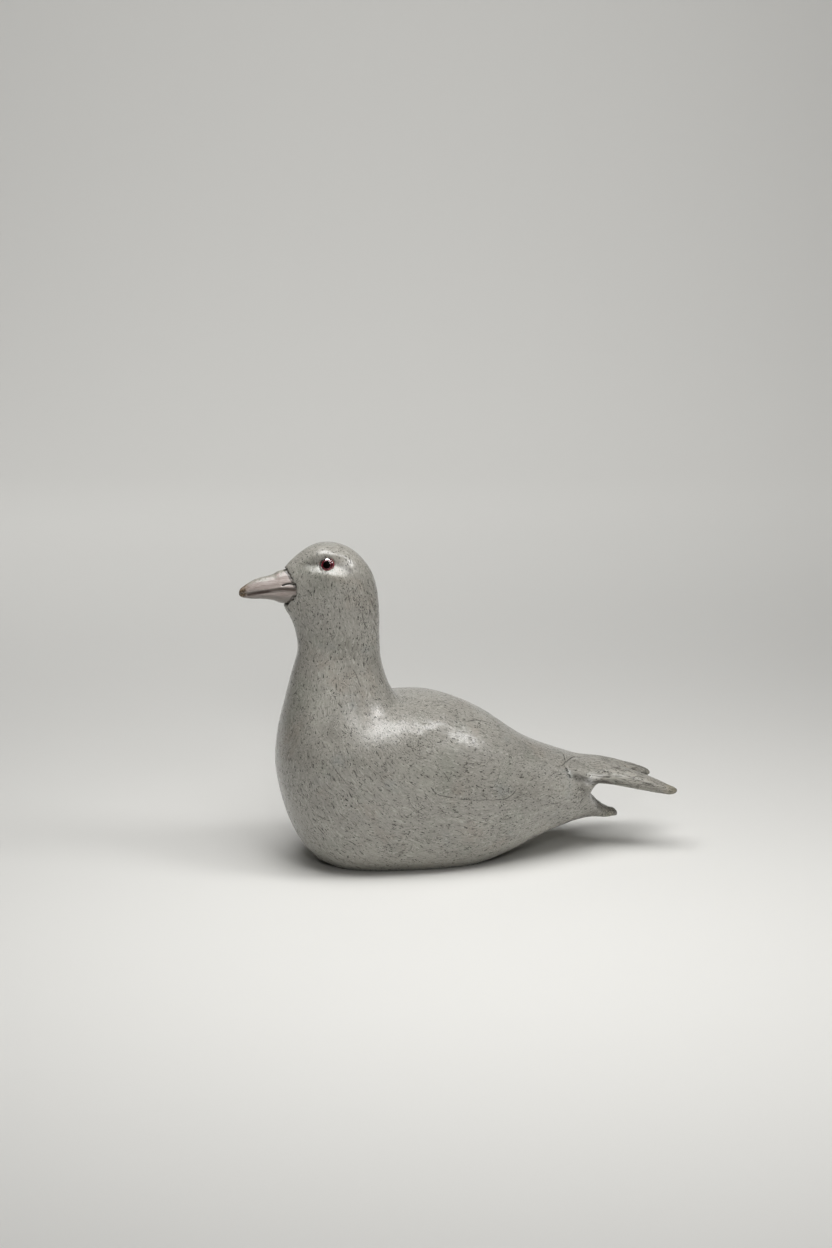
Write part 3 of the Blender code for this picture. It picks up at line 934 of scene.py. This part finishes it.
class GULL_OT_carving(bpy.types.Operator):
    """Works over the carved wood: facets, checks, pits, weathered grooves and its limed finish"""

    bl_idname = "gull.carving"
    bl_label = "Finish the carving"

    def execute(self, context):
        look = context.scene.gull_carving
        piece = remeshed("gull_carving", "carved_gull", look.quad)
        surface = Surface(piece.data)
        surface.relax(10, 1.0)
        eyes = [sum(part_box(node), Vector()) / 2 / MM for node in ("left_eye", "right_eye")]
        eye_gap = np.min([np.linalg.norm(surface.points - np.array(eye), axis=1) for eye in eyes], axis=0)
        bill = tree_of(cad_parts["bill"].data)
        bill_gap = distance_to(bill, surface.points, 12.0)
        along = surface.points[:, 0] / LENGTH * 100
        spared = np.maximum(ease(bill_gap, *SPARED_BY_BILL), ease(eye_gap, *SPARED_BY_EYE))
        spared = np.maximum(spared, ease(along, *SPARED_BEHIND))
        surface.relax(40, 1 - 0.93 * spared)

        grain, direction = grain_of(surface.points)
        for axis, seed in ((1, 31), (2, 32)):
            grain[:, axis] += rough(surface.points, GRAIN_BEND, seed, 2) * BEND_REACH
        weather = ease(along, *WEATHERED)
        normals = surface.normals()
        facets = rough(surface.points, LARGE_FACET, 1, 2) * look.facet / MM
        facets += rough(surface.points, SMALL_FACET, 2, 2) * look.facet / MM * 0.30
        grooves = rough(grain / GROOVE_SHAPE, GROOVE_WIDTH, 3, 3)
        grooves = -np.maximum(grooves, 0.0) * weather * look.groove / MM
        seam = ease(bill_gap, 1.6, 0.3) * (0.30 + 0.30 * rough(surface.points, 2.0, 4, 2))
        still = ease(surface.points[:, 2], 0.4, 3.0)
        surface.points += normals * ((facets + grooves) * still - seam)[:, None]
        chin = np.linalg.norm(surface.points - np.array(spot(*CHIN)), axis=1)
        surface.points[:, 0] -= look.chin / MM * np.exp(-((chin / CHIN_WIDTH) ** 2))

        tree = tree_of(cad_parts["gull_carving"].data)
        surface.keep("hollow_wax_and_shade", shape_reliefs(surface, tree, normals))
        named = []
        for _, pixels, half_width, depth in NAMED_MARKS:
            line = curve_through([seen_at(tree, pixel) for pixel in pixels], 1.0)
            named.append((line, half_width, depth, min(1.0, depth + 0.5)))
        cut_marks(surface, named, random_marks(surface, tree, direction, look.marks, look.seed))

        floor = surface.points[:, 2]
        surface.points[:, 2] = np.where(floor < 0.35, 0.0, floor)
        surface.points = np.clip(surface.points, np.array(CAD_LOW) / MM, np.array(CAD_HIGH) / MM)
        surface.keep("grain", grain)
        surface.keep("place", surface.points)
        surface.keep("weather", weather)
        surface.keep("crowded", crowding(surface.points))
        surface.keep("tips", ease(along, *BROWNED_TIPS) * 0.55)
        low = ease(surface.points[:, 2] / HEIGHT * 100, *TAIL_UP)
        surface.keep("tail_edge", ease(along, *TAIL_ALONG) * low)
        surface.keep("joint", np.minimum(bill_gap, FAR))
        surface.store()
        finish_piece(piece, limed_wood(look), "limed_wood", "gull_carving")
        return {"FINISHED"}


class GULL_OT_bill(bpy.types.Operator):
    """Finishes the bill: mouth line, nostrils and horn-coloured paint"""

    bl_idname = "gull.bill"
    bl_label = "Finish the bill"

    def execute(self, context):
        look = context.scene.gull_bill
        piece = remeshed("bill", "painted_bill", look.quad)
        surface = Surface(piece.data)
        surface.relax(30, 1.0)
        tree = tree_of(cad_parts["bill"].data)
        for name, pixels, depth, spread in (
            ("mouth", MOUTH_PIXELS, look.mouth, MOUTH_WIDTH),
            ("nostril", NOSTRIL_PIXELS, look.nostril, NOSTRIL_WIDTH),
        ):
            line = curve_through([seen_at(tree, pixel) for pixel in pixels], 0.6)
            mirrored = np.abs(surface.points) * (0, 1, 0) + surface.points * (1, 0, 1)
            away, _, _ = nearest_on([Vector((point.x, -point.y, point.z)) for point in line], mirrored)
            gap = np.linalg.norm(away, axis=1)
            move = -depth / MM * np.exp(-((gap / spread) ** 2))
            if name == "mouth":
                side = np.hypot(away[:, 0], away[:, 1])
                up = (away[:, 2] - LIP_UP) / LIP_WIDTH
                move += look.lip / MM * np.exp(-(up**2) - (side / LIP_REACH) ** 2)
            surface.points += surface.normals() * move[:, None]
            surface.keep(name, np.minimum(gap, FAR))
        head = tree_of(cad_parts["gull_carving"].data)
        low, high = (np.array(corner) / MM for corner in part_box("bill"))
        face = low[0] + (high[0] - low[0]) * FACE_SHARE
        place = surface.points
        lay = np.stack(
            (
                (face - place[:, 0]) / (face - low[0]),
                place[:, 1] / high[1],
                surface.normals()[:, 2],
            ),
            axis=1,
        )
        surface.keep("lay", lay)
        surface.keep("place", place)
        surface.keep("joint", distance_to(head, place, FAR))
        surface.store()
        finish_piece(piece, horn_paint(look), "bill_horn_paint", "bill")
        return {"FINISHED"}


class GULL_OT_eyes(bpy.types.Operator):
    """Sets the glass eyes: a clear dome in a cup with a painted iris and pupil"""

    bl_idname = "gull.eyes"
    bl_label = "Set the eyes"

    def execute(self, context):
        look = context.scene.gull_eyes
        glass = eye_glass(look)
        enamels = [eye_enamel(name, code) for name, _, code in IRIS_RINGS]
        for node, side in (("left_eye", -1), ("right_eye", 1)):
            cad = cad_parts[node].data
            points = np.array([vertex.co for vertex in cad.vertices])
            centre = points.mean(0)
            _, axes = np.linalg.eigh(np.cov((points - centre).T))
            axis = axes[:, 0] * math.copysign(1, axes[1, 0] * side)
            heights = (points - centre) @ axis
            radius = np.linalg.norm((points - centre) - np.outer(heights, axis), axis=1).max()
            top, back = heights.max(), heights.min()
            rim = back + (top - back) * RIM_SHARE
            turn = Vector(axis).to_track_quat("Z", "Y").to_matrix().to_4x4()
            matrix = Matrix.Translation(Vector(centre)) @ turn

            steps = np.linspace(0, math.pi / 2, 13)
            dome = [(radius * math.sin(step), rim + (top - rim) * math.cos(step)) for step in steps]
            profile = [*dome, (radius, top - look.wall), (0.0, top - look.wall)]
            clear = self.turned(node + "_glass", profile, look.sides, matrix)
            finish_piece(clear, glass, "crimson_glass", node)

            skin = PAINT_SKIN * MM
            depth = top - look.wall - skin
            profile = [(0.0, depth), *((radius * share, depth) for _, share, _ in IRIS_RINGS)]
            profile += [(radius + skin, depth), (radius + skin, rim), (radius + 4 * skin, rim)]
            profile += [(radius + 4 * skin, back), (0.0, back)]
            cup = self.turned(node + "_painted_cup", profile, look.sides, matrix)
            finish_piece(cup, enamels[0], "crimson_glass")
            for enamel in enamels[1:]:
                cup.data.materials.append(enamel)
            for face in cup.data.polygons:
                face.material_index = min(face.index // look.sides, len(enamels) - 1)
        return {"FINISHED"}

    def turned(self, name, profile, sides, matrix):
        """A closed solid turned about its Z axis from (radius, height) points that start and end on it."""
        bm = bmesh.new()
        rings = []
        for radius, height in profile:
            if radius < 1e-6:
                rings.append([bm.verts.new((0, 0, height))] * sides)
                continue
            ring = []
            for number in range(sides):
                turn = 2 * math.pi * number / sides
                ring.append(bm.verts.new((radius * math.cos(turn), radius * math.sin(turn), height)))
            rings.append(ring)
        for ring, following in zip(rings, rings[1:]):
            for number in range(sides):
                after = (number + 1) % sides
                corners = dict.fromkeys((ring[number], following[number], following[after], ring[after]))
                bm.faces.new(list(corners))
        bm.transform(matrix)
        bmesh.ops.recalc_face_normals(bm, faces=bm.faces)
        mesh = bpy.data.meshes.new(name)
        bm.to_mesh(mesh)
        bm.free()
        mesh.set_sharp_from_angle(angle=math.radians(35))
        made = bpy.data.objects.new(name, mesh)
        bpy.context.scene.collection.objects.link(made)
        return made


class GULL_OT_stage(bpy.types.Operator):
    """Hangs the pale sweep, sets soft lights and places the camera as in the photograph"""

    bl_idname = "gull.stage"
    bl_label = "Set the studio"

    def execute(self, context):
        look = context.scene.gull_stage
        scene = context.scene
        self.sweep(look)
        powers = (look.overhead, look.right, look.glint, look.floor, look.wall)
        for power, (name, size, place, target) in zip(powers, SOFTBOXES):
            light = self.light(name, "AREA", power, place, target)
            light.data.shape = "RECTANGLE"
            light.data.size, light.data.size_y = size
        key = self.light("key_lamp", "SPOT", look.key, KEY_PLACE, KEY_TARGET)
        key.data.spot_size = math.radians(KEY_CONE)
        key.data.spot_blend = 1.0
        key.data.shadow_soft_size = KEY_RADIUS
        # A polarised lamp: it lights the wood but leaves no glint on it
        key.visible_glossy = False

        room = bpy.data.worlds.new("pale_room")
        room.use_nodes = True
        background = room.node_tree.nodes["Background"]
        background.inputs["Color"].default_value = (*linear("#F3F2EE"), 1.0)
        background.inputs["Strength"].default_value = look.room
        scene.world = room

        place, right, up, back = camera_axes()
        lens = bpy.data.cameras.new("studio_camera")
        lens.lens = LENS
        lens.sensor_width = SENSOR
        lens.clip_end = 20.0
        camera = bpy.data.objects.new("studio_camera", lens)
        scene.collection.objects.link(camera)
        turn = Matrix((right, up, back)).transposed()
        camera.matrix_world = Matrix.Translation(place * MM) @ turn.to_4x4()
        scene.camera = camera
        scene.view_settings.view_transform = "Standard"
        return {"FINISHED"}

    def light(self, name, kind, power, place, target):
        data = bpy.data.lights.new(name, kind)
        data.energy = power
        made = bpy.data.objects.new(name, data)
        bpy.context.scene.collection.objects.link(made)
        made.location = place
        made.rotation_euler = (Vector(place) - Vector(target)).to_track_quat("Z", "Y").to_euler()
        return made

    def sweep(self, look):
        """One sheet: floor, a quarter round and a wall, turned to face the camera."""
        half, near, far, bend, tall = 4.0, -3.0, 1.5, 1.2, 4.0
        line = [(near, 0.0), (far, 0.0)]
        for turn in np.linspace(0, math.pi / 2, 33)[1:]:
            line.append((far + bend * math.sin(turn), bend * (1 - math.cos(turn))))
        line.append((far + bend, tall))
        bm = bmesh.new()
        rows = [[bm.verts.new((side * half, y, z)) for side in (-1, 1)] for y, z in line]
        for row, following in zip(rows, rows[1:]):
            bm.faces.new((row[0], row[1], following[1], following[0]))
        mesh = bpy.data.meshes.new("background_sweep")
        bm.to_mesh(mesh)
        bm.free()
        mesh.shade_smooth()
        mesh.materials.append(studio_paper(look))
        made = bpy.data.objects.new("background_sweep", mesh)
        made.rotation_euler.z = math.radians(PHOTO_AZIMUTH)
        bpy.context.scene.collection.objects.link(made)


class GULL_PT_panel(bpy.types.Panel):
    """Lists the steps of the seagull statue and their sizes and colours"""

    bl_idname = "GULL_PT_panel"
    bl_label = PANEL_WORD
    bl_space_type = "VIEW_3D"
    bl_region_type = "UI"
    bl_category = PANEL_WORD

    def draw(self, context):
        for operator, name in STEPS:
            box = self.layout.box()
            box.operator(operator.bl_idname)
            group = getattr(context.scene, name)
            for key in group.__annotations__:
                box.prop(group, key)


STEPS = (
    (GULL_OT_carving, "gull_carving"),
    (GULL_OT_bill, "gull_bill"),
    (GULL_OT_eyes, "gull_eyes"),
    (GULL_OT_stage, "gull_stage"),
)
LOOKS = (CarvingLook, BillLook, EyeLook, StageLook)
CLASSES = (*LOOKS, *(step for step, _ in STEPS), GULL_PT_panel)


def register():
    for cls in CLASSES:
        bpy.utils.register_class(cls)
    for look, (_, name) in zip(LOOKS, STEPS):
        setattr(bpy.types.Scene, name, PointerProperty(type=look))


def unregister():
    for _, name in STEPS:
        delattr(bpy.types.Scene, name)
    for cls in reversed(CLASSES):
        bpy.utils.unregister_class(cls)


def main():
    register()
    bpy.ops.gull.carving()
    bpy.ops.gull.bill()
    bpy.ops.gull.eyes()
    bpy.ops.gull.stage()


if __name__ == "__main__":
    main()
